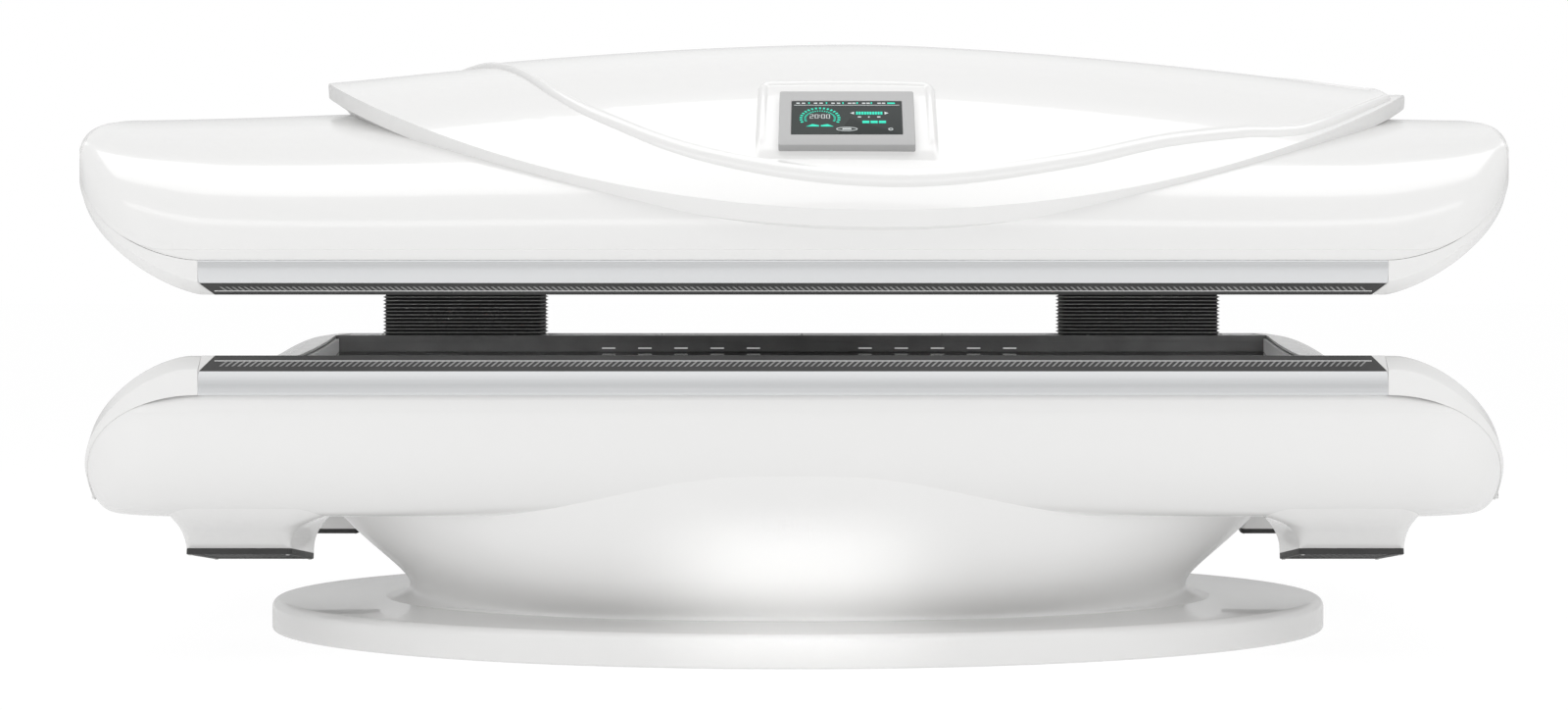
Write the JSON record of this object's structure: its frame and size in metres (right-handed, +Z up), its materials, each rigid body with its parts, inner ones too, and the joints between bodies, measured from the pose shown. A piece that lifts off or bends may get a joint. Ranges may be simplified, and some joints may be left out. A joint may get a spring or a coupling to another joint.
{
  "type": "red light therapy bed",
  "caption": "Full-length light therapy bed: white lying tub on a flared pedestal, with an arched canopy on telescopic columns under pleated bellows.",
  "frame": {"origin": "on the floor under the middle of the bed", "axes": "+X along the bed to the right as seen by the user, +Y to the rear where the lift columns stand, +Z up"},
  "size_m": [2.182, 1.124, 0.9855],
  "materials": {
    "white_shell": "gloss white moulded shell",
    "grey_wall": "light grey satin plastic",
    "aluminium_rail": "satin anodised, brushed along the length",
    "dark_mesh": "dark grey perforated strip",
    "frame_metal": "mill finish welded frame",
    "support_steel": "grey powder coat",
    "bright_tube": "smooth anodised tube",
    "black_plastic": "fine-grained black plastic",
    "bellows": "matt black pleated cover",
    "clear_sheet": "clear polished acrylic",
    "light_board": "white circuit board with light emitters",
    "screen": "dark glossy touch screen"
  },
  "bodies": {
    "bed": {"plinth": "white_shell", "pedestal": "white_shell", "bed_tub": "white_shell", "bed_end_cap_left": "white_shell", "bed_end_cap_right": "white_shell", "bed_rear_deck": "white_shell", "bed_end_wall_left": "grey_wall", "bed_end_wall_right": "grey_wall", "bed_rail_front": "aluminium_rail", "bed_rail_rear": "aluminium_rail", "bed_mesh_strip_front": "dark_mesh", "bed_rear_inner_panel": "dark_mesh", "bed_frame": "frame_metal", "pedestal_column": "support_steel", "column_outer_left": "support_steel", "column_outer_right": "support_steel", "power_supply": "bright_tube", "controller": "black_plastic", "lift_motor_left": "black_plastic", "lift_motor_right": "black_plastic", "power_inlet": "black_plastic", "fan_frame_front_left": "black_plastic", "intake_grille_front_left": "black_plastic", "fan_frame_rear_left": "black_plastic", "intake_grille_rear_left": "black_plastic", "fan_frame_front_right": "black_plastic", "intake_grille_front_right": "black_plastic", "fan_frame_rear_right": "black_plastic", "intake_grille_rear_right": "black_plastic", "bellows_left": "bellows", "bellows_right": "bellows", "bed_acrylic": "clear_sheet", "bed_led_board_front": "light_board", "bed_led_board_centre": "light_board", "bed_led_board_rear": "light_board"},
    "canopy": {"canopy_cover": "white_shell", "canopy_end_cap_left": "white_shell", "canopy_end_cap_right": "white_shell", "canopy_rail_front": "aluminium_rail", "canopy_rail_rear": "aluminium_rail", "canopy_mesh_strip_front": "dark_mesh", "canopy_frame": "frame_metal", "canopy_rear_deck": "white_shell", "canopy_acrylic": "clear_sheet", "canopy_led_board_front": "light_board", "canopy_led_board_top": "light_board", "canopy_led_board_rear": "light_board", "leaf_cover": "white_shell", "leaf_panel": "white_shell", "screen_bezel": "aluminium_rail", "screen_glass": "screen", "column_inner_left": "bright_tube", "column_inner_right": "bright_tube"},
    "column_middle_left": {"column_middle_left": "bright_tube"},
    "column_middle_right": {"column_middle_right": "bright_tube"},
    "fan_rotor_front_left": {"fan_rotor_front_left": "black_plastic"},
    "fan_rotor_rear_left": {"fan_rotor_rear_left": "black_plastic"},
    "fan_rotor_front_right": {"fan_rotor_front_right": "black_plastic"},
    "fan_rotor_rear_right": {"fan_rotor_rear_right": "black_plastic"}
  },
  "joints": [
    {"name": "canopy_lift", "type": "slide", "parent": "bed", "child": "canopy", "axis": [0, 0, 1], "range_m": [-0.05, 0.25], "deforming": ["bellows_left", "bellows_right"]},
    {"name": "lift_stage_left", "type": "slide", "parent": "bed", "child": "column_middle_left", "axis": [0, 0, 1], "range_m": [-0.025, 0.125]},
    {"name": "lift_stage_right", "type": "slide", "parent": "bed", "child": "column_middle_right", "axis": [0, 0, 1], "range_m": [-0.025, 0.125]},
    {"name": "fan_spin_front_left", "type": "hinge", "parent": "bed", "child": "fan_rotor_front_left", "pos_m": [-0.87, -0.26, 0.157], "axis": [0, 0.1685, 0.9857], "continuous": true},
    {"name": "fan_spin_rear_left", "type": "hinge", "parent": "bed", "child": "fan_rotor_rear_left", "pos_m": [-0.87, 0.26, 0.157], "axis": [0, -0.1685, 0.9857], "continuous": true},
    {"name": "fan_spin_front_right", "type": "hinge", "parent": "bed", "child": "fan_rotor_front_right", "pos_m": [0.87, -0.26, 0.157], "axis": [0, 0.1685, 0.9857], "continuous": true},
    {"name": "fan_spin_rear_right", "type": "hinge", "parent": "bed", "child": "fan_rotor_rear_right", "pos_m": [0.87, 0.26, 0.157], "axis": [0, -0.1685, 0.9857], "continuous": true}
  ],
  "couplings": [
    {"joint": "lift_stage_left", "follows": "canopy_lift", "ratio": 0.5},
    {"joint": "lift_stage_right", "follows": "canopy_lift", "ratio": 0.5}
  ]
}
